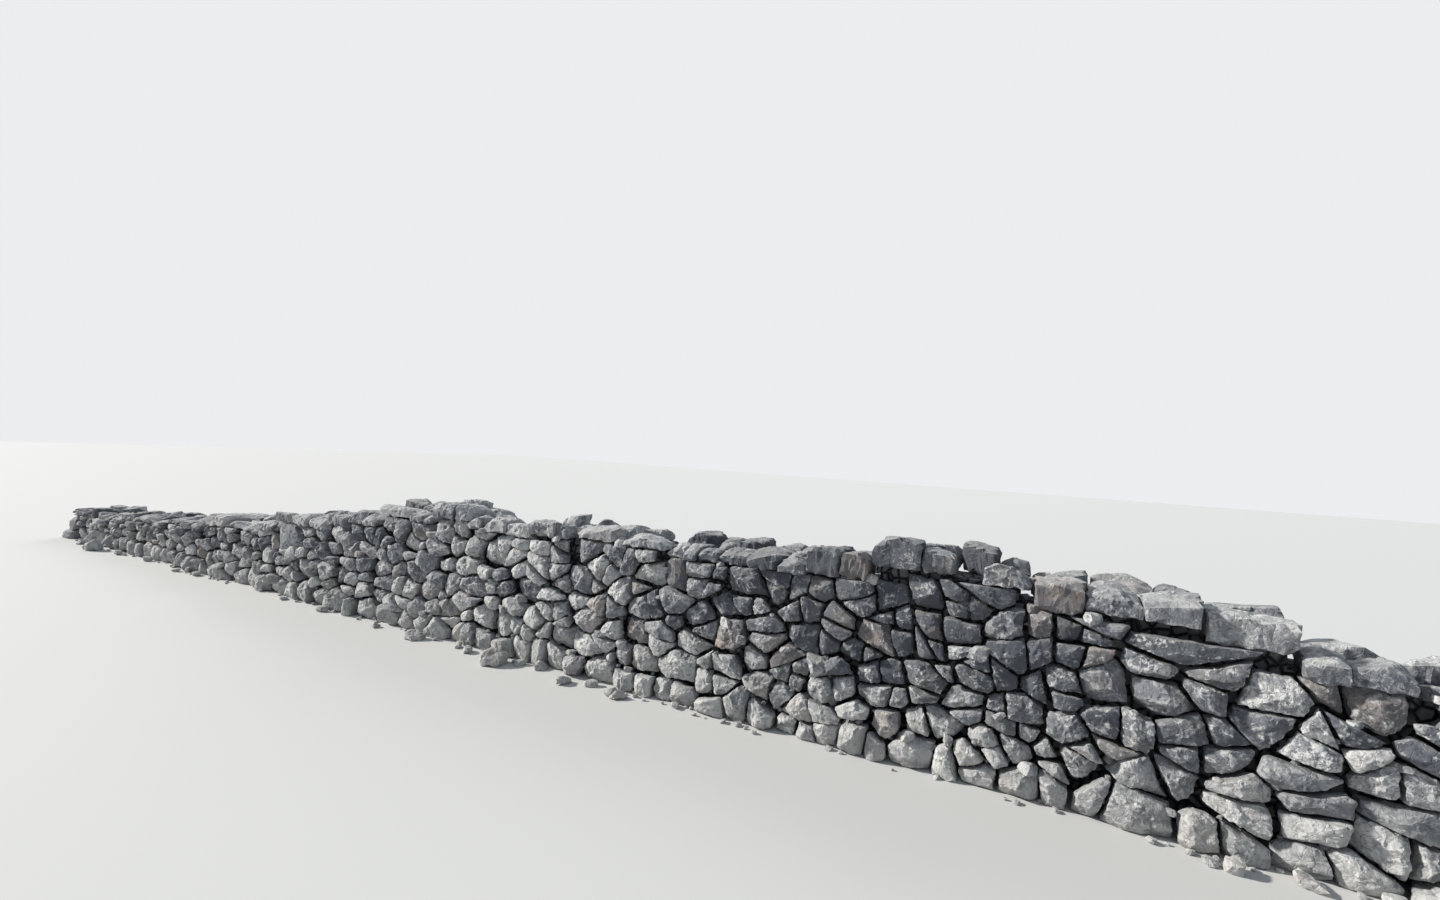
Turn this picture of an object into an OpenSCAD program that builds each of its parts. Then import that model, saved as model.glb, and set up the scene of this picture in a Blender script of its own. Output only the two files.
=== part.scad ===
// Dry stone wall, built of rough limestone without mortar.
// Two leaves of face stones stand against a core of packed rubble, on larger footing stones
// and under a capping of loose stones. The wall is whole at its right end and has come down
// towards its left end.
// Origin: middle of the length, on the centre line, at ground level. X runs along the wall,
// the road side faces -Y, and Z is up. Millimetres.

/* [Length and crest] */
// Length of one bay
bay_len = 2100; // [1500:50:2600]
// Height of the crest at the ruined left end
crest_0 = 370; // [300:10:600]
// Height of the crest one bay from the ruined end
crest_1 = 440; // [320:10:800]
// Height of the crest two bays from the ruined end
crest_2 = 640; // [450:10:1000]
// Height of the crest at the middle of the length
crest_3 = 970; // [700:10:1200]
// Height of the crest two bays from the built end
crest_4 = 1030; // [800:10:1250]
// Height of the crest one bay from the built end
crest_5 = 1100; // [800:10:1250]
// Height of the crest at the built right end
crest_6 = 900; // [700:10:1200]

/* [Cross-section] */
// Width of the wall at the ground, without the footing's step
base_w = 720; // [640:10:900]
// Width of the rubble core between the two leaves
core_w = 240; // [160:10:300]
// Lean of each face, as millimetres inwards for each metre of height
batter = 90; // [40:5:110]
// Step of the footing stones beyond the face
footing_out = 28; // [10:1:90]
// Most that a stone stands out of its face, or back from it
relief = 26; // [0:1:35]
// Slope of the broken facets of a face stone's front, in degrees
facet_slope = 18; // [0:1:25]
// Most that a single flat front or top is turned out of true, in degrees
turn_out = 9; // [0:1:12]

/* [Stones] */
// Height of the footing stones
footing_h = 155; // [130:5:260]
// Mean length of the footing stones at the ruined end
footing_len = 178; // [150:2:300]
// Mean height of a course of face stones at the ruined end
course_h = 88; // [75:1:120]
// Mean length of a face stone at the ruined end
stone_len = 140; // [110:1:190]
// How many times larger the stones are at the built end than at the ruined end
growth = 1.9; // [1:0.05:2]
// Share of the stones that have grown over a neighbour's place
large_share = 0.1; // [0:0.01:0.3]
// Open joint between neighbouring stones
joint = 13; // [8:1:20]
// Mean height of the capping stones
cap_h = 86; // [60:2:130]
// Mean length of the capping stones at the ruined end
cap_len = 148; // [120:2:250]
// Share of the capping stones that are missing
cap_loss = 0.08; // [0:0.01:0.3]
// Depth of the stones that close each end
end_t = 210; // [160:5:300]
// Where stones have fallen to the foot of the road face, as shares of the length
fallen_at = [0.05, 0.09, 0.5, 0.54, 0.58, 0.65, 0.69]; // [0:0.01:1]
// Mean width of a fallen stone
fallen_w = 150; // [80:10:220]
// Number that picks the random layout
layout = 7; // [1:1:99]

/* [Hidden] */
crest_at_joints = [crest_0, crest_1, crest_2, crest_3, crest_4, crest_5, crest_6];
bays = len(crest_at_joints) - 1;
wall_len = bays * bay_len;

// The seat under the capping is level along each step, and drops from step to step.
steps_per_bay = 6;
steps = bays * steps_per_bay;
step_len = bay_len / steps_per_bay;
least_seed_cover = 0.1 * course_h;

// Length of the wall as measured in stones of the ruined end's size.
even_len = wall_len / (1 + (growth - 1) / 3);
// Size of the stones on each step.
step_sizes = [for (step = [0 : steps - 1]) size_there(place_of((step + 0.5) * step_len))];

// Layout keys, so that each leaf and end gets its own stones.
ROAD = 1;
FIELD = 2;
LEFT_END = 3;
RIGHT_END = 4;
CAPPING = 5;

big = 3000;
reach = 3.3 * footing_len * growth;
least_edge = 14;
least_side = 39;

stone_grey = [0.56, 0.57, 0.58];
footing_grey = [0.50, 0.51, 0.52];
capping_grey = [0.64, 0.65, 0.66];
rubble_grey = [0.38, 0.38, 0.37];

bay_numbers = [1 : bays];

// Repeatable chance from 0 to 1 for a set of keys.
function chance(a, b = 0, c = 0, d = 0) =
    let (v = sin(127.1 * a + 311.7 * b + 74.7 * c + 193.3 * d + 41.3 * layout) * 4375.85)
    v - floor(v);

// The same, from -1 to 1.
function swing(a, b = 0, c = 0, d = 0) = 2 * chance(a, b, c, d) - 1;

// Stations run from 0 at the ruined end to wall_len at the built end.
function crest(s) =
    let (t = min(max(s / bay_len, 0), bays - 0.001), i = floor(t))
    crest_at_joints[i] + (t - i) * (crest_at_joints[i + 1] - crest_at_joints[i]);

// Stones are laid out on an even length, from 0 to 1, which is stretched where they are larger.
function size_there(t) = 1 + (growth - 1) * pow(t, 2);
function station_of(t) = even_len * (t + (growth - 1) / 3 * pow(t, 3));
function place_of(s, t = 0.5, tries = 7) =
    tries == 0 ? t : place_of(s, t + (s - station_of(t)) / even_len / size_there(t), tries - 1);

// Mean height of the capping on a step.
function cap_height(step) = cap_h * step_sizes[step];

function step_of(s) = min(max(floor(s / step_len), 0), steps - 1);

// Height of the capping's seat on a step.
function seat_on(step) =
    let (want = crest((step + 0.5) * step_len) - cap_height(step)
        + 0.35 * course_h * step_sizes[step] * swing(step, 9))
    want < footing_h + 0.2 * course_h ? footing_h : want;

function seat(s) = seat_on(step_of(s));

// Half the wall's width at a height.
function half_w(z) = base_w / 2 - z * batter / 1000;

// Row 0 is the footing, and the courses of face stones are above it.
function row_pitch(row) = row == 0 ? footing_len : stone_len;

function row_mid(row, size) =
    row == 0 ? footing_h / 2 : footing_h + (row - 0.5) * course_h * size;

// A heavier seed pushes its joints outwards. The footing's weight puts its top at footing_h.
function row_weight(row, size) =
    row == 0 ? pow(footing_h / 2, 2) - pow(course_h * size / 2, 2) : 0;

// A seed is [along, up, weight, row, number].
function seed(leaf, row, k) =
    let (
        t = (k + 0.5 + 0.5 * (row % 2) + 0.36 * swing(leaf, row, k, 1)) * row_pitch(row) / even_len,
        course = course_h * size_there(t)
    )
    [station_of(t),
     row_mid(row, size_there(t)) + (row < 2 ? 0.15 : 0.34) * course * swing(leaf, row, k, 2),
     row_weight(row, size_there(t)) + 0.4 * pow(course, 2) * swing(leaf, row, k, 3),
     row, k];

function rows_below(top) = max(0, ceil((top - footing_h) / course_h));

// Has this seed given its place to its neighbours? Never two side by side.
function given_up(leaf, row, k) =
    (row + k) % 2 == 0 && chance(leaf, row, k, 9) < 2 * large_share;

// Is there a stone at this seed, or has the wall ended below it?
function stands(p) = p[3] == 0 || p[1] < seat(p[0]) - least_seed_cover;

// Cuts a convex outline back to the side of a line where nx * x + ny * y <= c.
function clip(shape, line) =
    let (n = len(shape), d = [for (p = shape) p[0] * line[0] + p[1] * line[1] - line[2]])
    [for (i = [0 : 1 : n - 1])
        let (j = (i + 1) % n, a = shape[i], b = shape[j])
        each concat(
            d[i] <= 0 ? [a] : [],
            (d[i] < 0 && d[j] > 0) || (d[i] > 0 && d[j] < 0)
                ? [a + (b - a) * d[i] / (d[i] - d[j])] : []
        )
    ];

function clip_all(shape, lines, i = 0) =
    i == len(lines) || len(shape) < 3 ? shape : clip_all(clip(shape, lines[i]), lines, i + 1);

// The joint line between two seeds, set back by half of the open joint.
// The length along the wall counts for less than height, so stones come out longer than tall.
function joint_line(p, q) =
    let (
        squeeze = pow(course_h / stone_len, 1.2),
        n = [(q[0] - p[0]) * squeeze, q[1] - p[1]],
        size = norm(n),
        c = ((pow(q[0], 2) - pow(p[0], 2)) * squeeze + pow(q[1], 2) - pow(p[1], 2)
            - q[2] + p[2]) / 2
    )
    [n[0] / size, n[1] / size, c / size - joint / 2];

// Drops the corner at the end of each edge that is too short to matter.
function without_short_edges(shape) =
    let (n = len(shape))
    [for (i = [0 : 1 : n - 1]) if (norm(shape[(i + 1) % n] - shape[i]) > least_edge) shape[i]];

function area(shape) =
    let (n = len(shape))
    n < 3 ? 0 : abs([for (i = [0 : 1 : n - 1]) cross(shape[i], shape[(i + 1) % n])]
        * [for (i = [0 : 1 : n - 1]) 1]) / 2;

function top_of(shape) = max([for (p = shape) p[1]]);

function square_round(p) =
    [[p[0] - big, p[1] - big], [p[0] + big, p[1] - big],
     [p[0] + big, p[1] + big], [p[0] - big, p[1] + big]];

// Seeds of a leaf near a station, between the two ends and as far up as the seat there.
function seeds_near(leaf, from, to, top) =
    [for (row = [0 : rows_below(top)])
        let (first = place_of(max(from, 0)), last = place_of(min(to, wall_len)))
        for (k = [floor(first * even_len / row_pitch(row)) - 1
                : ceil(last * even_len / row_pitch(row)) + 1])
            let (p = seed(leaf, row, k))
            if (p[0] > max(from, end_t) && p[0] < min(to, wall_len - end_t)
                && !given_up(leaf, row, k) && stands(p)) p];

// Takes away what would stand in the capping of a lower step: either all beyond the border
// with that step, or all above its seat, whichever leaves the larger stone.
function off_step(shape, other, border) =
    len(shape) < 3 || other < 0 || other >= steps || top_of(shape) <= seat_on(other) ? shape
    : let (beside = clip(shape, border), below = clip(shape, [0, 1, seat_on(other)]))
      area(beside) > area(below) ? beside : below;

function off_lower_steps(shape, step) =
    let (left = step * step_len, right = left + step_len, rest = [for (p = shape) p[0]])
    off_step(
        min(rest) < left ? off_step(shape, step - 1, [-1, 0, -left - joint / 2]) : shape,
        max(rest) > right ? step + 1 : -1,
        [1, 0, right - joint / 2]
    );

// Outline of the stone at a seed, seen on the face of the wall.
function face_outline(leaf, p, near) =
    let (
        step = step_of(p[0]),
        bounds = [[0, -1, 0], [0, 1, seat_on(step)], [-1, 0, -end_t], [1, 0, wall_len - end_t]],
        lines = [for (q = near)
            if (q != p && abs(q[0] - p[0]) < reach && abs(q[1] - p[1]) < 3.3 * course_h * growth)
                joint_line(p, q)]
    )
    let (shape = clip_all(square_round(p), concat(bounds, lines)))
    len(shape) < 3 ? [] : off_lower_steps(shape, step);

// The stones of one leaf in one bay. The last value of each is its seed.
function bay_stones(leaf, bay, footing) =
    let (
        from = (bay - 1) * bay_len,
        to = bay * bay_len,
        top = max([for (t = [0 : steps_per_bay - 1]) seat_on((bay - 1) * steps_per_bay + t)]),
        near = seeds_near(leaf, from - reach, to + reach, top)
    )
    [for (p = near)
        if (p[0] >= from && p[0] < to && (p[3] == 0) == footing)
            let (shape = without_short_edges(face_outline(leaf, p, near)))
            if (len(shape) > 2 && area(shape) > pow(least_side, 2)) [shape, p]];

// How far a face stone reaches from the wall's centre line.
function front_of(leaf, p) =
    half_w(p[1]) + (p[3] == 0 ? footing_out : 0) + relief * swing(leaf, p[3], p[4], 4);

// Slope of one of the two facets of a stone's front, as degrees about X and about Z. They
// lean with the face's batter and meet in a ridge, which stands upright on a footing stone.
function facet(leaf, p, which) =
    let (
        way = p[3] == 0 ? 180 * which
            : 360 * chance(leaf, p[3], p[4], 5)
                + (which == 0 ? 0 : 180 + 50 * swing(leaf, p[3], p[4], 7)),
        slope = facet_slope * (0.75 + 0.4 * swing(leaf, p[3], p[4], 10 + which))
    )
    [(p[3] == 0 ? 0 : atan(batter / 1000)) + slope * sin(way), slope * cos(way)];

// All that lies behind a facet, as a block much larger than the stone.
module behind_facet(leaf, p, which) {
    side = leaf == ROAD ? 1 : -1;
    slopes = facet(leaf, p, which);
    translate([p[0] - wall_len / 2, -side * front_of(leaf, p), p[1]])
        rotate([-side * slopes[0], 0, slopes[1]])
            translate([-big / 2, side > 0 ? 0 : -big, -big / 2])
                cube(big);
}

// One leaf of a bay: outlines on the wall's face, run out from the core to each stone's front.
module leaf_stones(leaf, bay, footing) {
    side = leaf == ROAD ? 1 : -1;
    for (stone = bay_stones(leaf, bay, footing)) {
        depth = front_of(leaf, stone[1]) - core_w / 2 + stone_len;
        intersection() {
            translate([-wall_len / 2, -side * core_w / 2, 0])
                rotate([90, 0, 0])
                    translate([0, 0, side > 0 ? 0 : -depth])
                        linear_extrude(depth) polygon(stone[0]);
            behind_facet(leaf, stone[1], 0);
            behind_facet(leaf, stone[1], 1);
        }
    }
}

module road_face(bay) { color(stone_grey) leaf_stones(ROAD, bay, false); }
module field_face(bay) { color(stone_grey) leaf_stones(FIELD, bay, false); }

module footing(bay) {
    color(footing_grey) {
        leaf_stones(ROAD, bay, true);
        leaf_stones(FIELD, bay, true);
    }
}

// The packed rubble between the leaves, as high as the capping's seat on every step.
module hearting(bay) {
    color(rubble_grey)
        translate([-wall_len / 2, core_w / 2, 0])
            rotate([90, 0, 0])
                linear_extrude(core_w)
                    for (t = [0 : steps_per_bay - 1]) {
                        step = (bay - 1) * steps_per_bay + t;
                        from = max(step * step_len, end_t);
                        to = min((step + 1) * step_len, wall_len - end_t);
                        translate([from, 0]) square([to - from, seat_on(step)]);
                    }
}

// Line between the capping of a step and of the one before it, seen from above. It lies over
// the lower of the two, so that the higher one's stones reach out over its edge.
function cap_border(step) =
    let (
        lean = 0.14,
        over = step == 0 || step == steps ? 0
            : (seat_on(step - 1) > seat_on(step) ? 1 : -1) * lean * base_w / 2,
        slant = step == 0 || step == steps ? 0 : lean * swing(CAPPING, step, 11),
        size = norm([1, slant])
    )
    [1 / size, slant / size, (step * step_len + over) / size];

// Seeds of the capping on one step, in plan: two rows, one over each leaf.
function cap_seeds(step) =
    let (across = half_w(seat_on(step)) / 2)
    [for (row = [-1, 1])
        let (
            mean_len = cap_len * step_sizes[step],
            n = max(1, round(step_len / mean_len + 0.7 * swing(CAPPING, step, row, 3)))
        )
        for (k = [0 : n - 1])
            [(step + (k + 0.5 + 0.2 * swing(CAPPING, step, k, row)) / n) * step_len,
             row * across + 0.3 * across * swing(CAPPING, step, k, row + 5),
             0, row, k]];

// Joint line between two seeds, seen from above.
function plan_joint(p, q) =
    let (n = [q[0] - p[0], q[1] - p[1]], size = norm(n))
    [n[0] / size, n[1] / size,
     (pow(q[0], 2) + pow(q[1], 2) - pow(p[0], 2) - pow(p[1], 2)) / (2 * size) - joint / 2];

// Plan outline of the capping stone at a seed.
function cap_outline(step, p, seeds) =
    let (
        edge = half_w(seat_on(step)) - relief / 2 + relief * swing(CAPPING, step, p[4], p[3] + 20),
        left = cap_border(step),
        right = cap_border(step + 1),
        lines = concat(
            [[-left[0], -left[1], -left[2] - joint / 2],
             [right[0], right[1], right[2] - joint / 2],
             [0, -1, edge], [0, 1, edge]],
            [for (q = seeds) if (q != p) plan_joint(p, q)]
        )
    )
    without_short_edges(clip_all(square_round(p), lines));

// Loose top stones. Each lies flat on its seat, and its own top slopes a little.
module capping(bay) {
    color(capping_grey)
        for (t = [0 : steps_per_bay - 1]) {
            step = (bay - 1) * steps_per_bay + t;
            seeds = cap_seeds(step);
            for (p = seeds)
                if (chance(CAPPING, step, p[4], p[3] + 30) >= cap_loss) {
                    height = cap_height(step) * (1 + 0.32 * swing(CAPPING, step, p[4], p[3] + 8));
                    roll = turn_out * swing(CAPPING, step, p[4], p[3] + 11);
                    pitch = turn_out * swing(CAPPING, step, p[4], p[3] + 14);
                    translate([-wall_len / 2, 0, seat_on(step)])
                        intersection() {
                            linear_extrude(2 * height) polygon(cap_outline(step, p, seeds));
                            translate([p[0], p[1], height])
                                rotate([roll, pitch, 0])
                                    translate([-big / 2, -big / 2, -big]) cube(big);
                        }
                }
        }
}

// Seeds of an end, seen square to it: the rows of the faces, two and three stones wide in turn.
function end_seeds(end, top) =
    let (size = end == LEFT_END ? 1 : growth)
    [for (row = [0 : rows_below(top)])
        let (columns = 2 + row % 2, z = row_mid(row, size), pitch = 2 * half_w(z) / columns)
        if (row == 0 || z < top - least_seed_cover)
            for (k = [0 : columns - 1])
                [(k + 0.5 - columns / 2 + 0.2 * swing(end, row, k, 1)) * pitch,
                 z + 0.2 * course_h * size * swing(end, row, k, 2),
                 row_weight(row, size), row, k]];

// Larger stones that close one end, over the ends of the leaves and the core.
module end_stones(end, step) {
    top = seat_on(step);
    seeds = end_seeds(end, top);
    lean = batter / 1000;
    slope = norm([1, lean]);
    side = end == LEFT_END ? -1 : 1;
    color(stone_grey)
        for (p = seeds) {
            step_out = p[3] == 0 ? footing_out : 0;
            face = (base_w / 2 + step_out) / slope;
            lines = concat(
                [[0, -1, 0], [0, 1, top], [1 / slope, lean / slope, face],
                 [-1 / slope, lean / slope, face]],
                [for (q = seeds) if (q != p) joint_line(p, q)]
            );
            depth = end_t + step_out / 2 + relief * swing(end, p[3], p[4], 4);
            lean_out = turn_out * swing(end, p[3], p[4], 5);
            translate([side * (wall_len / 2 - end_t), 0, 0])
                intersection() {
                    rotate([90, 0, 90])
                        translate([0, 0, side > 0 ? 0 : -depth - stone_len])
                            linear_extrude(depth + stone_len)
                                polygon(without_short_edges(clip_all(square_round(p), lines)));
                    translate([side * depth, p[0], p[1]])
                        rotate([0, lean_out, turn_out * swing(end, p[3], p[4], 6)])
                            translate([side > 0 ? -big : 0, -big / 2, -big / 2])
                                cube(big);
                }
        }
}

module built_end() { end_stones(RIGHT_END, steps - 1); }
module ruined_end() { end_stones(LEFT_END, 0); }

// The footing stone beside another one, past a place that was given up.
function next_foot(k, way) = given_up(ROAD, 0, k + way) ? k + 2 * way : k + way;

function foot_front(k) = front_of(ROAD, seed(ROAD, 0, k));

// The footing stone near number k that stands out further than both of its neighbours.
function outermost(k) =
    let (left = next_foot(k, -1), right = next_foot(k, 1))
    given_up(ROAD, 0, k) ? outermost(k + 1)
    : foot_front(left) > foot_front(k) ? outermost(left)
    : foot_front(right) > foot_front(k) ? outermost(right) : k;

// Stones that have come off the crest. Each lies on the ground, against the ridge of a
// footing stone that stands out from its row.
module fallen_stones() {
    feet = [for (share = fallen_at)
        outermost(floor(place_of(share * wall_len) * even_len / footing_len))];
    color(stone_grey)
        for (i = [0 : 1 : len(feet) - 1])
            if (len([for (j = [0 : 1 : i - 1]) if (feet[j] == feet[i]) j]) == 0) {
                width = fallen_w * (1 + 0.3 * swing(i, 31));
                front = foot_front(feet[i]);
                middle = [seed(ROAD, 0, feet[i])[0], -front - 0.4 * width];
                turn = 60 * chance(i, 32);
                lines = concat(
                    [[0, 1, -front]],
                    [for (k = [0 : 5])
                        let (a = turn + 60 * k + 16 * swing(i, k, 33),
                            n = [cos(a), sin(a)],
                            out = 0.5 * width * (1 + 0.2 * swing(i, k, 34)))
                        [n[0], n[1], n * middle + out]]
                );
                translate([-wall_len / 2, 0, 0])
                    linear_extrude(width * (0.55 + 0.2 * swing(i, 35)))
                        polygon(without_short_edges(clip_all(square_round(middle), lines)));
            }
}

for (b = bay_numbers) {
    hearting(b);
    footing(b);
    road_face(b);
    field_face(b);
    capping(b);
}
built_end();
ruined_end();
fallen_stones();
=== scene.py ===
"""Dry stone wall: every stone of the CAD model gets its rounded, broken limestone surface.

Lengths are in metres. x runs along the wall from its ruined end to its built end, the road is on
the side of negative y, and chance is always seeded, by a stone's place or by a fixed number.
"""
import math

import bpy
import numpy as np
from mathutils import Matrix, Vector


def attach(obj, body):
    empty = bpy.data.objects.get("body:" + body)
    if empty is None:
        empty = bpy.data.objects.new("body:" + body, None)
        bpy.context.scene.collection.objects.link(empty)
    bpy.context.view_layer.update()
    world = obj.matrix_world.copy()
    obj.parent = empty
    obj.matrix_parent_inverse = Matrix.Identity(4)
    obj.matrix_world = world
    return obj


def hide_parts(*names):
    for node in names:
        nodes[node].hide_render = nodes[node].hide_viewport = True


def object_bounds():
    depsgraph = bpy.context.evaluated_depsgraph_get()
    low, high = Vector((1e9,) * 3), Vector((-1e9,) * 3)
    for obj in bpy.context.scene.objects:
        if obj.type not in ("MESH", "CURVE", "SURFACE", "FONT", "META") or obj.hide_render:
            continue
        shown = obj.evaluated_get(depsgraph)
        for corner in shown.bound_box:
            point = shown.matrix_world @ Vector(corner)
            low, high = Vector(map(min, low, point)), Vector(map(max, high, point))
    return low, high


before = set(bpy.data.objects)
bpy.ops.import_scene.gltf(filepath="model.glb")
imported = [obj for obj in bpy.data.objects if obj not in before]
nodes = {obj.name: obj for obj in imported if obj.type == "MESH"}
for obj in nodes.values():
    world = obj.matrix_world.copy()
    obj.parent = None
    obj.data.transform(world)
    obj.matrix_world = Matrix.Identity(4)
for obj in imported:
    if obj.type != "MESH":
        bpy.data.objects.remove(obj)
cad_box = [list(corner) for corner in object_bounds()]
scene = bpy.context.scene
low_corner, high_corner = np.array(cad_box[0]), np.array(cad_box[1])

BAYS = 6
NEAR_X = 2.4  # beyond it the stones are near the camera
FAR_X = -0.5  # before it they are far from the camera


# ---------------------------------------------------------------- reading the CAD stones

WELD = 20000  # steps per metre in which points are taken as one
SLIVER = 1e-9  # doubled area of a triangle too thin to tell a plane
SAME_WAY, SAME_LEVEL = 0.9998, 4e-4  # cosine and distance within which two planes are one


def stones_of(node):
    """The convex solids of a CAD node, each as its own points and its outward face planes."""
    mesh = node.data
    mesh.calc_loop_triangles()
    points = np.empty(len(mesh.vertices) * 3)
    mesh.vertices.foreach_get("co", points)
    points = points.reshape(-1, 3)
    triangles = np.empty(len(mesh.loop_triangles) * 3, int)
    mesh.loop_triangles.foreach_get("vertices", triangles)
    keys, inverse = np.unique(np.round(points * WELD).astype(np.int64), axis=0,
                              return_inverse=True)
    triangles = inverse.reshape(-1)[triangles].reshape(-1, 3)
    points = keys / float(WELD)
    # points that triangles join end up with the same label
    label = np.arange(len(points))
    while True:
        low = label[triangles].min(1)
        new = label.copy()
        np.minimum.at(new, triangles.ravel(), np.repeat(low, 3))
        new = new[new]
        if (new == label).all():
            break
        label = new
    stones = []
    for shared in np.unique(label[triangles[:, 0]]):
        own = triangles[label[triangles[:, 0]] == shared]
        corners = points[np.unique(own)]
        middle = (corners.min(0) + corners.max(0)) / 2
        a, b, c = (points[own[:, i]] for i in range(3))
        normal = np.cross(b - a, c - a)
        size = np.linalg.norm(normal, axis=1)
        keep = size > SLIVER
        normal = normal[keep] / size[keep, None]
        level = (normal * a[keep]).sum(1)
        flip = normal @ middle > level
        normal[flip] *= -1
        level[flip] *= -1
        planes = []
        for n, h in sorted(zip(map(tuple, normal), level)):
            if not any(np.dot(n, m) > SAME_WAY and abs(h - k) < SAME_LEVEL for m, k in planes):
                planes.append((n, h))
        stones.append((corners, np.array([list(n) + [h] for n, h in planes])))
    stones.sort(key=lambda s: tuple(np.round(s[0].mean(0), 3)))
    return stones


# ---------------------------------------------------------------- splitting large stones

AROUND = np.random.default_rng(3).normal(size=(160, 3))  # directions that pick outermost corners
TURNS = np.array([[math.cos(k * math.pi / 8), math.sin(k * math.pi / 8)] for k in range(8)]).T
SPLIT_DEPTH, SPLIT_TRIES = 3, 6
OFF_CENTRE = 0.14  # how far from the middle a break may pass, in shares of the stone
SPLIT_JOINT = (0.006, 0.014)
LEAST_SPAN, SLIMMEST = 0.07, 2.3  # a part's least width, and its length over its width

FREE = 9.0  # larger than any stone
CAP_LIMITS = ((5.0, 0.30), (math.inf, 0.42))  # up to x, length
FACE_LIMITS = ((3.3, 0.28, 0.22), (4.9, 0.235, 0.185), (math.inf, 0.30, 0.22))  # and height
CAP_TILT, FACE_TILT, NO_TILT = (0.3, 0.3, 0.15), (0.4, 0.08, 0.4), (0.0, 0.0, 0.0)


def unit(vectors):
    return vectors / np.linalg.norm(vectors, axis=-1, keepdims=True)


def cut(corners, planes, normal, level, joint):
    """The two parts of a convex stone on either side of a plane, with a joint between them."""
    parts = []
    for sign in (1, -1):
        n, h = sign * normal, sign * level - joint / 2
        over = corners @ n - h
        inside, outside = corners[over <= 0], corners[over > 0]
        a, b = over[over <= 0][:, None], over[over > 0][None, :]
        crossing = inside[:, None] + (a / (a - b))[..., None] * (outside[None] - inside[:, None])
        found = np.vstack([inside, crossing.reshape(-1, 3)])
        parts.append((found[np.unique((found @ AROUND.T).argmax(0))],
                      np.vstack([planes, [*n, h]])))
    return parts


def broken(corners, planes, most, tilt, rng, depth=0):
    """A stone, or the smaller stones that stand in its place where it is larger than most."""
    size = np.ptp(corners, axis=0)
    over = size / most
    if over.max() < 1 or depth > SPLIT_DEPTH:
        return [(corners, planes)]
    for _ in range(SPLIT_TRIES):
        normal = unit(np.eye(3)[over.argmax()] + rng.uniform(-1, 1, 3) * tilt)
        middle = ((corners.min(0) + corners.max(0)) / 2
                  + rng.uniform(-OFF_CENTRE, OFF_CENTRE, 3) * size)
        parts = cut(corners, planes, normal, middle @ normal, rng.uniform(*SPLIT_JOINT))
        spans = [np.ptp(part[:, [0, 2]] @ TURNS, axis=0) for part, _ in parts]
        if (min(s.min() for s in spans) > LEAST_SPAN
                and max(s.max() / s.min() for s in spans) < SLIMMEST):
            break
    else:
        return [(corners, planes)]
    return [piece for part in parts for piece in broken(*part, most, tilt, rng, depth + 1)]


def limit_of(kind, corners):
    """How large a stone may be in each direction, and how askew its breaks are."""
    x = corners[:, 0].mean()
    if kind == "capping":
        wide = next(length for end, length in CAP_LIMITS if x < end)
        return np.array([wide, FREE, FREE]), CAP_TILT
    if kind in ("road_face", "field_face", "footing"):
        wide, high = next(limits for end, *limits in FACE_LIMITS if x < end)
        return np.array([wide, FREE, high]), FACE_TILT
    return np.array([FREE, FREE, FREE]), NO_TILT


# ---------------------------------------------------------------- chance and noise

def chance_for(point, salt=0):
    """A generator of its own for every place, told apart to 4 mm."""
    keys = [int(k) for k in np.floor(np.asarray(point) * 250 + 5000.5)]
    return np.random.default_rng([salt] + keys)


def lattice(cell, salt):
    """A number from 0 to 1 for every cell, from the usual hash by a sine."""
    v = np.sin(cell @ np.array([127.1, 311.7, 74.7]) + salt * 19.19) * 43758.5453
    return v - np.floor(v)


def noise(points, salt=0):
    """Smooth noise from -1 to 1 with a lattice of one unit."""
    base = np.floor(points)
    t = points - base
    t = t * t * t * (t * (t * 6 - 15) + 10)
    total = 0
    for corner in range(8):
        step = np.array([corner & 1, corner >> 1 & 1, corner >> 2 & 1])
        weight = np.prod(np.where(step, t, 1 - t), axis=1)
        total = total + weight * lattice(base + step, salt)
    return total * 2 - 1


# ---------------------------------------------------------------- the skin of a stone

FRONT_RINGS = 0.55  # share of a ball's rings in the 45 degrees around its front
# height and cell of each layer of roughness
WARP, SWELLING, GRIT = (0.012, 0.06), (0.0050, 0.080), (0.0015, 0.010)
RIDGES, FINE_RIDGES = (0.0060, 0.040), (0.0050, 0.021)
ROUGH_LIFT = 0.0025  # makes up for the ridges, which only take away
SKIN_INSET = 0.0005
EDGE_FROM, EDGE_SPAN = 0.86, 0.14  # how near to an edge, by its two nearest planes, wear shows
POLE, POLE_CALM = 0.40, 0.25  # around a ball's front point, where its triangles crowd


def around(axis):
    """Two directions at right angles to axis and to each other."""
    side = np.cross(axis, [0.0, 0.0, 1.0] if abs(axis[2]) < 0.9 else [1.0, 0.0, 0.0])
    side /= np.linalg.norm(side)
    return side, np.cross(side, axis)


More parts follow.
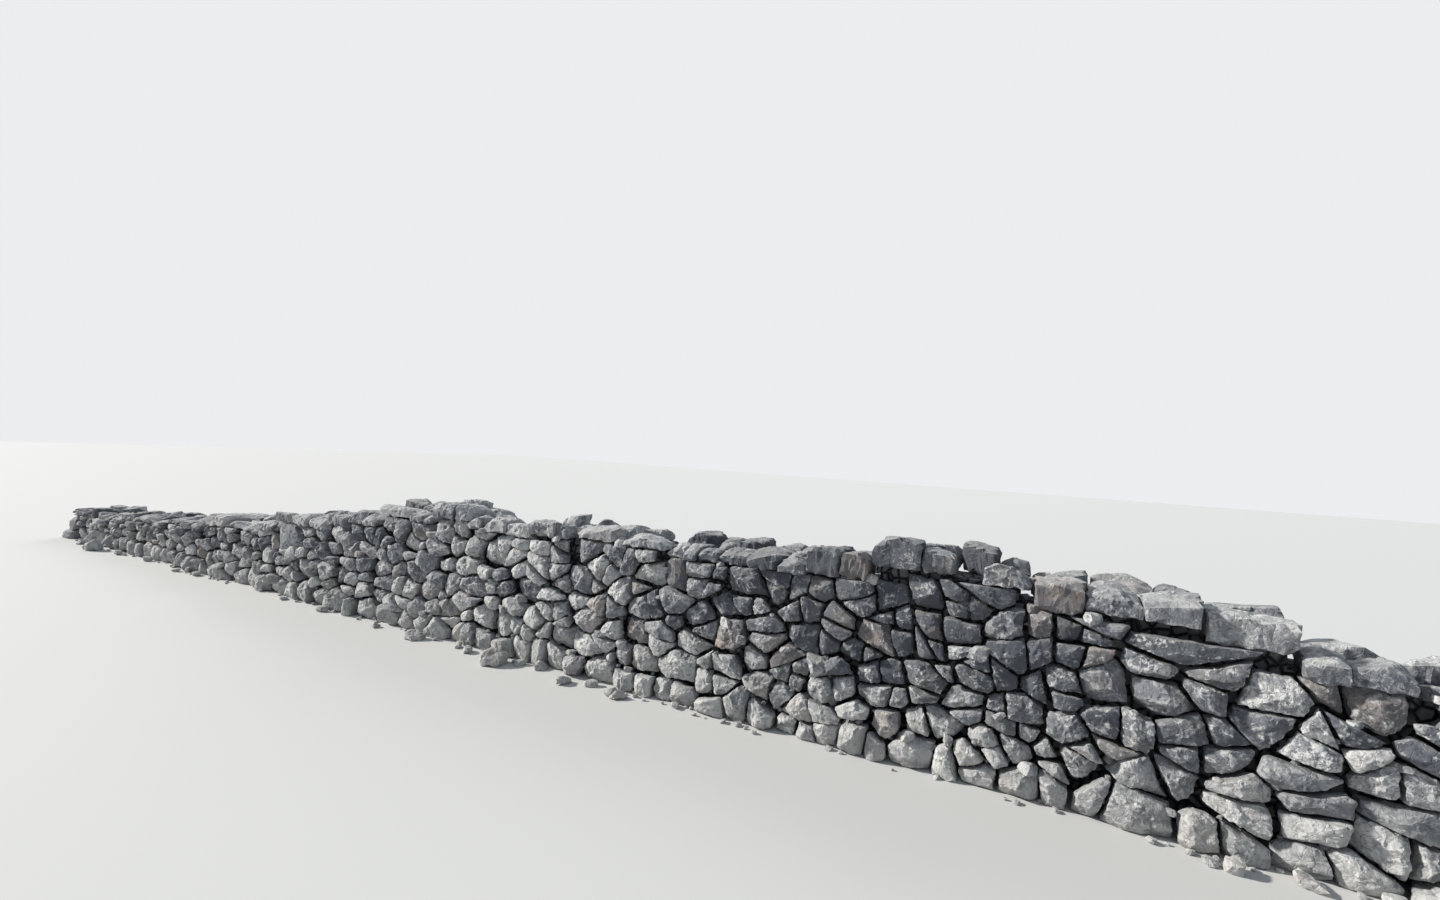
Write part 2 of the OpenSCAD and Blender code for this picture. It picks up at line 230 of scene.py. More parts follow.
def ball(segments, rings, back):
    """Points of a ball in (side, up, axis) shares, close together in front, and its faces."""
    front = round(rings * FRONT_RINGS)
    polar = [np.pi / 4 * i / front for i in range(1, front + 1)]
    left = rings - front
    polar += [np.pi / 4 + (back - np.pi / 4) * i / left for i in range(1, left + 1)]
    turn = 2 * np.pi * np.arange(segments) / segments
    points = [[0.0, 0.0, 1.0]]
    for i, p in enumerate(polar):
        t = turn + (i % 2) * np.pi / segments
        points += list(np.column_stack([np.sin(p) * np.cos(t), np.sin(p) * np.sin(t),
                                        np.full(segments, np.cos(p))]))
    points.append([0.0, 0.0, -1.0])
    faces = []
    last = len(points) - 1
    low = 1 + (rings - 1) * segments
    for k in range(segments):
        after = (k + 1) % segments
        faces.append((0, 1 + k, 1 + after))
        faces.append((last, low + after, low + k))
    for i in range(rings - 1):
        for k in range(segments):
            after = (k + 1) % segments
            a, b = 1 + i * segments + k, 1 + i * segments + after
            c, d = a + segments, b + segments
            faces += [(a, d, b), (a, c, d)] if i % 2 else [(a, c, b), (b, c, d)]
    return np.array(points), np.array(faces)


BALLS = {}


def ball_of(detail):
    """The ball with this detail, which is made once."""
    if detail not in BALLS:
        BALLS[detail] = ball(*detail)
    return BALLS[detail]


def carve(normals, levels, heart, axis, half, detail, power, wear, rng):
    """The rounded, rough surface inside a set of planes, as seen from its heart."""
    side, up, (wide, high, deep) = half
    shares, faces = ball_of(detail)
    directions = unit(shares[:, :1] * side * wide + shares[:, 1:2] * up * high
                      + shares[:, 2:] * np.asarray(axis) * deep)
    reach = levels - normals @ heart
    ratio = np.maximum(directions @ normals.T, 0) / reach
    most = ratio.max(1)
    soft = most * ((ratio / most[:, None]) ** power).sum(1) ** (1 / power)
    second = np.partition(ratio, -2, axis=1)[:, -2]
    edge = np.clip((second / most - EDGE_FROM) / EDGE_SPAN, 0, 1)
    shape = heart + directions / soft[:, None]
    offset = rng.uniform(0, 50, 3)

    def layer(sizes, at, salt):
        return sizes[0] * noise(at / sizes[1] + offset, salt)

    bent = shape + np.stack([layer(WARP, shape, salt) for salt in (5, 6, 7)], 1)
    rough = (layer(SWELLING, shape, 1) - np.abs(layer(RIDGES, bent, 2))
             - np.abs(layer(FINE_RIDGES, bent, 3)) + layer(GRIT, shape, 4) + ROUGH_LIFT)
    calm = np.clip(np.arccos(np.clip(shares[:, 2], -1, 1)) / POLE, POLE_CALM, 1)
    shape = shape + directions * (rough * wear * calm - SKIN_INSET)[:, None]
    return shape, faces, edge


def behind(shape, axis):
    """How far each point lies behind the foremost one."""
    return (shape @ axis).max() - shape @ axis


# ---------------------------------------------------------------- the three sorts of stone

END_DETAIL = (40, 30, np.pi * 0.95)
END_TURN, END_KNOCK, END_WEAR = 0.7, (0.012, 0.05), 1.2


def through_stone(planes, corners, axis, sharp, rng):
    """A long stone seen from both ends and one side: its planes, with its corners knocked off."""
    axis = np.asarray(axis, float)
    side, up = around(axis)
    lowest, highest = corners.min(0), corners.max(0)
    heart = (lowest + highest) / 2
    half = [np.ptp(corners @ d) / 2 for d in (side, up, axis)]
    knocked = []
    for corner in corners:
        away = (corner - heart) / ((highest - lowest) / 2)
        n = unit(away + rng.uniform(-END_TURN, END_TURN, 3))
        knocked.append([*n, corner @ n - rng.uniform(*END_KNOCK)])
    planes = np.vstack([planes, knocked])
    shape, faces, edge = carve(planes[:, :3], planes[:, 3], heart, axis, (side, up, half),
                               END_DETAIL, sharp, END_WEAR, rng)
    return shape, faces, behind(shape, axis), edge


PROBE = (24, 12, np.pi * 0.9)  # the coarse ball on which facets and chips are tried
HEART_DEPTH = 0.95  # how deep the heart lies, in shares of half the stone's least size
LEAST_LEVEL, LEAST_ROOM = 0.004, 0.012  # from the planes to the middle, and to the heart
HEART_STEPS, HEART_PULL, ROOM_MET = 40, 0.15, 0.9
SIDEWAYS, BOTTOM = 0.6, -0.5  # what counts as a side plane, and as one that faces down
SIDE_LOSS = 0.085  # its square is the most that a side falls back
FACETS, FACET_TURN, FACET_LIFT = (3, 6), 0.35, 0.10
PEAK_OFF, LEAST_RUN, FACET_FLOOR = 0.5, 0.02, 0.2
CHIPS, CHIP_TRIES, CHIP_FLOOR = (3, 13), 90, 0.3
CHIP_TILT, CHIP_BITE, CHIPS_AHEAD = 0.5, (0.02, 0.14), -0.1
KEEP_POWER, KEEP = 5, 0.92  # chips leave this share of the shape softened with this power,
KEEP_LESS, KEEP_FROM, KEEP_SPAN = 0.16, 0.25, 0.5  # and less of it towards the front
FULL_WEAR_SIZE, MOST_WEAR, WEAR_SPREAD = 0.11, 1.35, (0.6, 1.25)
FAR_WEAR, NEAR_WEAR = 1.5, 1.15


def rock(planes, corners, axis, detail, swell, sharp, rng, steep, fall=1.0):
    """A rough stone that fills a convex solid: its planes and more broken facets, worn."""
    axis = np.asarray(axis, float)
    side, up = around(axis)
    flat = np.column_stack([corners @ side, corners @ up])
    centre = (flat.min(0) + flat.max(0)) / 2
    spin = np.linalg.eigh(np.cov((flat - flat.mean(0)).T))[1][:, 1]
    long = spin[0] * side + spin[1] * up
    cross = np.cross(axis, long)
    wide = np.ptp(corners @ long) / 2
    high = np.ptp(corners @ cross) / 2
    size = min(wide, high)
    along = corners @ axis
    deep = min(wide, high, np.ptp(along) / 2) * HEART_DEPTH
    # the heart starts behind the face, and moves to the middle until all planes lie around it
    heart = centre[0] * side + centre[1] * up + axis * (along.max() - deep)
    middle = corners.mean(0)
    normals = planes[:, :3]
    levels = np.maximum(planes[:, 3], normals @ middle + LEAST_LEVEL)
    room = min(LEAST_ROOM, (levels - normals @ middle).min())
    for _ in range(HEART_STEPS):
        if (levels - normals @ heart).min() >= room * ROOM_MET:
            break
        heart += (middle - heart) * HEART_PULL
    # sides move into the joint or back from it, and all but the undersides fall back at random
    facing = normals @ axis
    levels[np.abs(facing) < SIDEWAYS] += swell
    loose = (np.abs(facing) < SIDEWAYS) & (normals[:, 2] > BOTTOM)
    levels[loose] -= rng.uniform(0, SIDE_LOSS, loose.sum()) ** 2
    shares, _ = ball_of(PROBE)
    directions = unit(shares[:, :1] * long * wide + shares[:, 1:2] * cross * high
                      + shares[:, 2:] * axis * deep)

    def reach_of(normals, levels):
        ratios = np.maximum(directions @ normals.T, 0) / (levels - normals @ heart)
        return ratios, 1 / ratios.max(1)

    # broken facets that fall away on all sides from a peak somewhere on the visible face
    _, radius = reach_of(normals, levels)
    skin = heart + directions * radius[:, None]
    peak = heart + axis * ((skin @ axis).max() - heart @ axis)
    peak += (long * wide * rng.uniform(-PEAK_OFF, PEAK_OFF)
             + cross * high * rng.uniform(-PEAK_OFF, PEAK_OFF))
    start = rng.uniform(0, 2 * np.pi)
    facets = rng.integers(*FACETS)
    extra = []
    for k in range(facets):
        turn = start + 2 * np.pi * (k + rng.uniform(-FACET_TURN, FACET_TURN)) / facets
        sideways = np.cos(turn) * long + np.sin(turn) * cross
        run = max(LEAST_RUN, (skin @ sideways).max() - peak @ sideways)
        slope = min(np.tan(np.radians(rng.uniform(*steep))), fall * size / run)
        n = unit(axis + slope * sideways)
        extra.append((n, peak @ n + rng.uniform(0.0, FACET_LIFT) * size))
    normals = np.vstack([normals] + [n for n, _ in extra])
    levels = np.concatenate([levels, [level for _, level in extra]])
    levels = np.maximum(levels, normals @ heart + FACET_FLOOR * deep)
    # chips tilted any way; one that would take too much off in any direction is left out
    ratios, radius = reach_of(normals, levels)
    outward = normals[ratios.argmax(1)]
    skin = heart + directions * radius[:, None]
    ahead = directions @ axis
    kept = KEEP - KEEP_LESS * np.clip((ahead - KEEP_FROM) / KEEP_SPAN, 0, 1)
    least = (ratios ** KEEP_POWER).sum(1) ** (-1 / KEEP_POWER) * kept
    now = 1 / radius
    added = []
    chips = rng.integers(*CHIPS)
    for pick in rng.choice(np.flatnonzero(ahead > CHIPS_AHEAD), CHIP_TRIES):
        if len(added) >= chips:
            break
        n = unit(outward[pick] + CHIP_TILT * rng.normal(size=3))
        level = skin[pick] @ n - rng.uniform(*CHIP_BITE) * size
        if level - n @ heart < CHIP_FLOOR * deep:
            continue
        after = np.maximum(now, np.maximum(directions @ n, 0) / (level - n @ heart))
        if (1 / after > least).all() and (after > now).any():
            now = after
            added.append((n, level))
    if added:
        normals = np.vstack([normals] + [n for n, _ in added])
        levels = np.concatenate([levels, [level for _, level in added]])
    wear = min(MOST_WEAR, 2 * size / FULL_WEAR_SIZE) * rng.uniform(*WEAR_SPREAD)
    wear *= FAR_WEAR if middle[0] < NEAR_X else NEAR_WEAR
    shape, faces, edge = carve(normals, levels, heart, axis, (long, cross, (wide, high, deep)),
                               detail, sharp, wear, rng)
    return shape, faces, behind(shape, axis), edge


PEBBLE_FACETS, PEBBLE_IN, PEBBLE_SHARP = (11, 17), (0.68, 1.0), (40, 90)
PEBBLE_TUMBLE, PEBBLE_FLAT = 0.25, [1, 1, 1.2]
PEBBLE_WEAR_SIZE = 0.045  # smaller ones are less rough


def pebble(centre, radii, detail, rng):
    """A small loose angular stone with three half sizes along turned axes."""
    tumble = np.linalg.qr(rng.normal(size=(3, 3)))[0]
    angle = rng.uniform(0, 2 * np.pi)
    c, s = np.cos(angle), np.sin(angle)
    lying = np.array([[c, s, 0], [-s, c, 0], [0, 0, 1.0]])
    turn = unit(lying + tumble * PEBBLE_TUMBLE)
    count = rng.integers(*PEBBLE_FACETS)
    normals = unit(rng.normal(size=(count, 3)) * PEBBLE_FLAT)
    normals = np.vstack([normals, np.eye(3), -np.eye(3)])
    sizes = np.asarray(radii)
    levels = np.linalg.norm(normals * sizes, axis=1) * rng.uniform(*PEBBLE_IN, len(normals))
    turned = normals @ turn
    return carve(turned, levels + turned @ centre, np.asarray(centre, float), turn[2],
                 (turn[0], turn[1], tuple(sizes)), detail, rng.uniform(*PEBBLE_SHARP),
                 min(1.0, min(radii) / PEBBLE_WEAR_SIZE), rng)


SHARP_ANGLE = 17  # edges between faces at more than these degrees stay sharp


class Heap:
    """Stones that are joined into one piece, with the values that their material reads."""

    def __init__(self):
        self.points, self.faces, self.values = [], [], []

    def add(self, points, faces, *looks):
        """Adds a stone with its tone, its warmth, its depth in the wall and its worn edges."""
        self.points.append(np.clip(points, low_corner, high_corner))
        self.faces.append(faces)
        self.values.append(np.column_stack([np.broadcast_to(v, len(points)) for v in looks]))

    def piece(self, name, slot_name):
        """The mesh object of all the stones so far, with its sharp edges kept sharp."""
        shifts = np.cumsum([0] + [len(points) for points in self.points[:-1]])
        verts = np.vstack(self.points)
        tris = np.vstack([faces + shift for faces, shift in zip(self.faces, shifts)])
        mesh = bpy.data.meshes.new(name)
        mesh.vertices.add(len(verts))
        mesh.vertices.foreach_set("co", verts.astype(np.float32).ravel())
        mesh.loops.add(len(tris) * 3)
        mesh.loops.foreach_set("vertex_index", tris.astype(np.int32).ravel())
        mesh.polygons.add(len(tris))
        mesh.polygons.foreach_set("loop_start", np.arange(0, len(tris) * 3, 3, dtype=np.int32))
        mesh.polygons.foreach_set("use_smooth", np.ones(len(tris), bool))
        mesh.update(calc_edges=True)
        mesh.validate()
        mesh.set_sharp_from_angle(angle=math.radians(SHARP_ANGLE))
        values = mesh.color_attributes.new("stone", "FLOAT_COLOR", "POINT")
        values.data.foreach_set("color", np.vstack(self.values).astype(np.float32).ravel())
        mesh.materials.append(stone)
        piece = bpy.data.objects.new(name, mesh)
        scene.collection.objects.link(piece)
        return piece


# ---------------------------------------------------------------- materials

class Nodes:
    """Short ways to add the nodes of one tree and to join them."""

    def __init__(self, tree):
        self.tree = tree

    def add(self, kind, **settings):
        made = self.tree.nodes.new("ShaderNode" + kind)
        for key, value in settings.items():
            setattr(made, key, value)
        return made

    def feed(self, socket, value):
        """Joins an output to a socket, or sets the socket to a number or a colour."""
        if hasattr(value, "is_output"):
            self.tree.links.new(value, socket)
        else:
            socket.default_value = (*value, 1) if isinstance(value, tuple) else value

    def texture(self, kind, place, settings=(), **inputs):
        """A texture at a place, with its inputs by name."""
        made = self.add("Tex" + kind, **dict(settings))
        self.feed(made.inputs["Vector"], place)
        for name, value in inputs.items():
            self.feed(made.inputs[name], value)
        return made

    def number(self, operation, *values):
        made = self.add("Math", operation=operation)
        for socket, value in zip(made.inputs, values):
            self.feed(socket, value)
        return made.outputs[0]

    def times(self, a, b):
        return self.number("MULTIPLY", a, b)

    def total(self, *terms):
        """The sum of outputs, each times its weight."""
        products = [self.times(value, weight) for value, weight in terms]
        added = products.pop()
        while products:
            added = self.number("ADD", products.pop(), added)
        return added

    def ramp(self, value, *stops):
        """Greys or colours at places from 0 to 1 of a value."""
        made = self.add("ValToRGB")
        self.feed(made.inputs[0], value)
        marks = made.color_ramp.elements
        while len(marks) < len(stops):
            marks.new(0.5)
        for mark, (place, colour) in zip(marks, stops):
            mark.position = place
            mark.color = (*colour, 1) if isinstance(colour, tuple) else (colour,) * 3 + (1,)
        return made.outputs[0]

    def mix(self, share, a, b):
        """Colour a, and b over it by a share."""
        made = self.add("Mix", data_type="RGBA")
        for index, value in ((0, share), (6, a), (7, b)):
            self.feed(made.inputs[index], value)
        return made.outputs[2]

    def bump(self, height, distance, strength=1.0):
        made = self.add("Bump")
        made.inputs["Strength"].default_value = strength
        made.inputs["Distance"].default_value = distance
        self.feed(made.inputs["Height"], height)
        return made.outputs[0]


BODY = ((0.34, (0.074, 0.082, 0.098)), (0.53, (0.160, 0.169, 0.187)), (0.78, (0.33, 0.333, 0.340)))
BLOOM_DULL, BLOOM_BRIGHT = (0.46, 0.465, 0.47), (0.66, 0.66, 0.64)
STAIN, PIT = (0.052, 0.056, 0.066), (0.045, 0.046, 0.05)
RUST, TAN = (0.34, 0.265, 0.215), (0.31, 0.25, 0.215)
# the last two: dust, partly a painted glare on the lowest stones, and soil with painted shade for
# the joints
FADED, DUST_AND_GLARE, SOIL_AND_SHADE = (0.30, 0.30, 0.29), (0.44, 0.435, 0.415), (0.160, 0.165, 0.182)


def limestone(name):
    """Weathered limestone: dark cool grey, mottled with pale bloom, a little rust, and soil with
    painted shade in the joints.
    """
    material = bpy.data.materials.new(name)
    material.use_nodes = True
    material.node_tree.nodes.clear()
    make = Nodes(material.node_tree)
    ramp, total = make.ramp, make.total

    place = make.add("TexCoord").outputs["Object"]
    attribute = make.add("Attribute", attribute_name="stone")
    own = make.add("SeparateColor")
    make.feed(own.inputs[0], attribute.outputs["Color"])
    tone, warm, depth = own.outputs[0], own.outputs[1], own.outputs[2]
    edge = attribute.outputs["Alpha"]

    def noise_at(scale, detail, rough=0.55, distortion=0.0):
        return make.texture("Noise", place, Scale=scale, Detail=detail, Roughness=rough,
                            Distortion=distortion).outputs["Fac"]

    def height_of(vector):
        split = make.add("SeparateXYZ")
        make.feed(split.inputs[0], vector)
        return split.outputs[2]

    def coat(under, mask, share, over):
        return make.mix(make.times(mask, share), under, over)

    mottle = noise_at(15, 5, 0.62, 0.8)
    blotch = noise_at(30, 5, 0.60, 1.5)
    grain = noise_at(170, 3)
    patch = noise_at(2.3, 2)

    colour = ramp(total((mottle, 0.8), (tone, 0.42)), *BODY)
    # some stones have much more bloom than others
    pale = total((blotch, 0.78), (mottle, 0.30), (tone, 0.14), (edge, 0.13))
    lichen = make.number("FRACT", total((tone, 13.7), (warm, 5.3)))
    colour = coat(colour, ramp(pale, (0.64, 0.0), (0.73, 1.0)),
                  make.number("ADD", make.times(lichen, 0.65), 0.3),
                  make.mix(grain, BLOOM_DULL, BLOOM_BRIGHT))
    colour = coat(colour, ramp(noise_at(27, 4, 0.6, 1.8), (0.36, 1.0), (0.45, 0.0)), 0.65, STAIN)
    rusty = make.times(ramp(noise_at(9, 4, 0.6, 0.4), (0.50, 0.0), (0.68, 1.0)), warm)
    colour = coat(colour, rusty, 0.55, RUST)
    colour = coat(colour, ramp(patch, (0.45, 0.0), (0.75, 1.0)), 0.2, FADED)
    colour = coat(colour, ramp(warm, (0.70, 0.0), (0.95, 1.0)), 0.22, TAN)
    colour = coat(colour, ramp(noise_at(95, 2, 0.5, 0.3), (0.30, 1.0), (0.40, 0.0)), 0.4, PIT)
    # dust on what faces up, dust and a painted glare on the lowest stones, then soil and painted
    # shade deep in the joints
    upward = height_of(make.add("NewGeometry").outputs["Normal"])
    dust_and_glare = make.number("MAXIMUM", make.times(ramp(upward, (0.45, 0.0), (0.95, 1.0)), 0.45),
                       make.times(ramp(height_of(place), (0.02, 1.0), (0.42, 0.0)), 0.55))
    colour = coat(colour, dust_and_glare, ramp(mottle, (0.30, 0.35), (0.62, 1.0)), DUST_AND_GLARE)
    # soil and painted shade: darker the deeper a point lies behind the stone's front
    colour = coat(colour, ramp(depth, (0.22, 0.0), (0.85, 1.0)), 0.7, SOIL_AND_SHADE)

    cracks = make.texture("Voronoi", place, {"feature": "DISTANCE_TO_EDGE"}, Scale=26)
    crack = ramp(cracks.outputs["Distance"], (0.0, 0.0), (0.06, 1.0))
    height = total((noise_at(48, 5, 0.62, 0.5), 1.0), (crack, 0.18), (grain, 0.12))

    shader = make.add("BsdfPrincipled")
    shader.inputs["Specular IOR Level"].default_value = 0.25
    make.feed(shader.inputs["Base Color"], colour)
    make.feed(shader.inputs["Roughness"], ramp(mottle, (0.3, 0.95), (0.7, 0.78)))
    make.feed(shader.inputs["Normal"], make.bump(height, 0.0065, 0.95))
    make.feed(make.add("OutputMaterial").inputs[0], shader.outputs[0])
    return material


RUBBLE_SCALE = 19
RUBBLE_DARK, RUBBLE_PALE = (0.13, 0.133, 0.142), (0.30, 0.30, 0.30)
RUBBLE_GAP = (0.030, 0.028, 0.026)


def packed_rubble(name):
    """The core of the wall: small dark stones with soil between them."""
    material = bpy.data.materials.new(name)
    material.use_nodes = True
    make = Nodes(material.node_tree)
    place = make.add("TexCoord").outputs["Object"]
    stones = make.texture("Voronoi", place, Scale=RUBBLE_SCALE)
    gaps = make.texture("Voronoi", place, {"feature": "DISTANCE_TO_EDGE"}, Scale=RUBBLE_SCALE)
    crumbs = make.texture("Noise", place, Scale=70, Detail=5)
    grey = make.add("SeparateColor")
    make.feed(grey.inputs[0], stones.outputs["Color"])
    tones = make.ramp(make.times(grey.outputs[0], crumbs.outputs["Fac"]),
                      (0.0, RUBBLE_DARK), (1.0, RUBBLE_PALE))
    inside = make.ramp(gaps.outputs["Distance"], (0.0, 0.0), (0.16, 1.0))
    shader = material.node_tree.nodes["Principled BSDF"]
    shader.inputs["Roughness"].default_value = 0.95
    shader.inputs["Specular IOR Level"].default_value = 0.15
    make.feed(shader.inputs["Base Color"], make.mix(inside, RUBBLE_GAP, tones))
    make.feed(shader.inputs["Normal"], make.bump(inside, 0.02))
    return material


stone = limestone("limestone")
core = packed_rubble("packed_rubble")


# ---------------------------------------------------------------- dressing the stones

AXIS = {"road_face": (0, -1, 0), "field_face": (0, 1, 0), "capping": (0, 0, 1),
        "built_end": (1, 0, 0), "ruined_end": (-1, 0, 0), "fallen_stones": (0, 0, 1)}
SLOTS = {"capping": "capping_stone", "footing": "footing_stone", "fallen_stones": "fallen_stone"}

NEAR_DENSITY, MID_DENSITY, FAR_DENSITY = 212, 196, 168  # segments per metre of a stone
SEGMENTS, RINGS_SHARE = (28, 52), 0.37
HIDDEN_DETAIL = (24, 9)
ALL_AROUND, FRONT_ONLY = np.pi * 0.9, np.pi * 0.68  # how far back a stone's rings reach

CAP_SWELL, CAP_SHARP, CAP_STEEP, CAP_FALL = 0.0045, (50, 120), (15, 50), 0.8
CAP_LEAN, CAP_LOSS, CAP_HEIGHT, CAP_SPARE = 0.3, 0.45, 0.6, 0.4
CAP_SIDE_LOSS, CAP_SIDE_SHARE = 0.035, 0.15
CAP_TOP, CAP_SIDE = 0.8, 0.7  # how far a plane faces up, or out of the wall, to count as such
FACE_SHARP, FACE_SWELL = (45, 130), (-0.004, 0.0045)
NEAR_STEEP, FAR_STEEP, FAR_SHARPER = (25, 60), (24, 58), 1.6

TONE_SHAPE, WARMTH = (1.5, 1.9), (-1.3, 1.0)
FALLEN_TONE, FALLEN_WARMTH = (0.6, 1.0), (0.5, 1.0)
STRETCH_X, STRETCH, STRETCH_ABOUT = 1.5, 1.45, 0.44  # more contrast before this x
TONES = (-0.25, 1.3)
JOINT_DEPTH = 0.11  # where the soil and painted shade are at their darkest
UPWARD_SOIL_AND_SHADE = 0.3  # what is left of the soil and painted shade on stones that lie open to the sky


def lean(spot):
    """How much paler a stone is by its place: more so near the ground, with dust and a painted
    glare, and around x = 1.8; less so high up around x = 4, a painted shade where the wall is
    darkest; and a little less at the ruined end."""
    # paler near the ground: dust, and partly a painted glare
    low = 0.30 * max(0.0, 1 - spot[2] / 0.45)
    high = min(1.0, max(0.0, (spot[2] - 0.2) / 0.3))
    # painted shade: darker high up around x = 4
    dark = 0.68 * high * math.exp(-((spot[0] - 4.0) / 1.3) ** 2)
    pale = 0.22 * math.exp(-((spot[0] - 1.8) / 0.9) ** 2)
    return low - dark + pale - 0.15 * min(1.0, max(0.0, (-1.5 - spot[0]) / 2))


def detail_of(kind, middle, corners, axis):
    """Segments, rings and reach of a stone's ball, by its size and how well it is seen."""
    back = ALL_AROUND if kind in ("capping", "fallen_stones") else FRONT_ONLY
    if not (axis[1] < 0 or axis[2] > 0 or axis[0] > 0):
        return (*HIDDEN_DETAIL, back)
    density = (NEAR_DENSITY if middle[0] > NEAR_X else
               MID_DENSITY if middle[0] > FAR_X else FAR_DENSITY)
    extent = np.delete(np.ptp(corners, axis=0), np.argmax(np.abs(axis))).mean()
    segments = int(np.clip(extent * density, *SEGMENTS)) // 2 * 2
    return segments, round(segments * RINGS_SHARE), back


def capping_stone(planes, corners, detail, rng):
    """A capping stone: uneven in height and at its outer edge, and lower where it is tall."""
    tilted = unit(np.array([*rng.uniform(-CAP_LEAN, CAP_LEAN, 2), 1.0]))
    tops, sides = planes[:, 2] > CAP_TOP, np.abs(planes[:, 1]) > CAP_SIDE
    length, width, height = np.ptp(corners, axis=0)
    planes = planes.copy()
    spare = max(0.0, height - CAP_HEIGHT * length)
    planes[tops, 3] -= rng.uniform(0, CAP_LOSS) ** 1.5 * height + CAP_SPARE * spare
    planes[sides, 3] -= rng.uniform(0, min(CAP_SIDE_LOSS, CAP_SIDE_SHARE * width), sides.sum())
    return rock(planes, corners, tilted, detail, CAP_SWELL, rng.uniform(*CAP_SHARP), rng,
                CAP_STEEP, CAP_FALL)


def face_stone(planes, corners, axis, detail, near, sharp, rng):
    """A stone of a face or of the footing, or a fallen one; those far off are sharper."""
    return rock(planes, corners, axis, detail, rng.uniform(*FACE_SWELL),
                sharp if near else sharp * FAR_SHARPER, rng, NEAR_STEEP if near else FAR_STEEP)


dressed = {}
for name in sorted(nodes):
    kind = name.rstrip("_0123456789")
    if kind == "hearting":
        nodes[name].data.materials.clear()
        nodes[name].data.materials.append(core)
        continue
    heap = Heap()
    solids = [piece for corners, planes in stones_of(nodes[name])
              for piece in broken(corners, planes, *limit_of(kind, corners),
                                  chance_for(corners.mean(0), 3))]
    for corners, planes in solids:
        middle = (corners.min(0) + corners.max(0)) / 2
        rng = chance_for(middle)
        axis = AXIS.get(kind) or (0, -1 if middle[1] < 0 else 1, 0)
        detail = detail_of(kind, middle, corners, axis)
        sharp = rng.uniform(*FACE_SHARP)
        if kind in ("built_end", "ruined_end"):
            points, tris, depth, edge = through_stone(planes, corners, axis, sharp, rng)
        elif kind == "capping":
            points, tris, depth, edge = capping_stone(planes, corners, detail, rng)
        else:
            points, tris, depth, edge = face_stone(planes, corners, axis, detail,
                                                   middle[0] > NEAR_X, sharp, rng)
        tone = rng.beta(*TONE_SHAPE) + lean(middle)
        if middle[0] < STRETCH_X:
            tone = 0.5 + STRETCH * (tone - STRETCH_ABOUT)
        tone = min(TONES[1], max(TONES[0], tone))
        warm = max(0.0, rng.uniform(*WARMTH))
        if kind == "fallen_stones":
            tone, warm = rng.uniform(*FALLEN_TONE), rng.uniform(*FALLEN_WARMTH)
        # the depth behind the stone's front carries the soil and painted shade of the joints
        depth = np.clip(depth / JOINT_DEPTH, 0, 1)
        if axis[2] > 0:
            depth = depth * UPWARD_SOIL_AND_SHADE
        heap.add(points, tris, tone, warm, depth, edge)
    piece = heap.piece(name + "_rock", SLOTS.get(kind, "face_stone"))
    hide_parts(name)
    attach(piece, "root")
    dressed[name] = piece


# ---------------------------------------------------------------- where the dressed stones are

bpy.context.view_layer.update()
bay = (high_corner[0] - low_corner[0]) / BAYS


def bay_at(x):
    return min(BAYS, max(1, math.floor((x - low_corner[0]) / bay) + 1))


def hits_near(x, kinds, start, direction):
    """Where a ray meets the stones of some kinds, in the bay at x and in those beside it."""
    index = bay_at(x)
    for near_index in {max(1, index - 1), index, min(BAYS, index + 1)}:
        for kind in kinds:
            hit, spot, _, _ = dressed[kind + str(near_index)].ray_cast(start, direction)
            if hit:
                yield spot


# ---------------------------------------------------------------- pinning stones in the joints

GRID, GRID_MARGIN, GRID_FOOT = 0.02, 0.05, 0.03
LEAST_OUT = 0.2  # the faces stand at least this far from the wall's middle
FRONT_REACH, STONE_REACH = 3, 5  # grid steps for the face around a hole and for stone over it
HOLE_DEPTH, NEAR_HOLE_DEPTH, HOLE_RIM, FRONT_PERCENTILE = 0.07, 0.095, 0.04, 60
PIN_FACES = ((-1, "road", 430), (1, "field", 250))  # which way, name, most stones
FEW_X, LEFT_OUT = 4.4, 0.6  # beyond this x most holes stay open
PIN_SIZE, PIN_INSET, PIN_SHIFT = (0.010, 0.022), (0.020, 0.045), 0.008
PIN_DETAIL, PIN_SPACING = (9, 5, np.pi * 0.92), 1.1
# PIN_DEPTH: the share of the joints' soil and painted shade that pins get
PIN_TONE, PIN_DEPTH = (0.0, 0.6), 0.6


def face_at(x, z, facing):
    """How far out of the wall's middle the stones stand at one place of a face."""
    kinds = ("road_face_" if facing < 0 else "field_face_", "footing_", "capping_")
    return max([LEAST_OUT] + [facing * spot.y
                              for spot in hits_near(x, kinds, (x, facing, z), (0, -facing, 0))])


def windows(values, size, edges, axis=None):
    """The values in a window around every place of a grid, its edges continued outward."""
    return np.lib.stride_tricks.sliding_window_view(np.pad(values, edges, mode="edge"), size,
                                                    axis=axis)


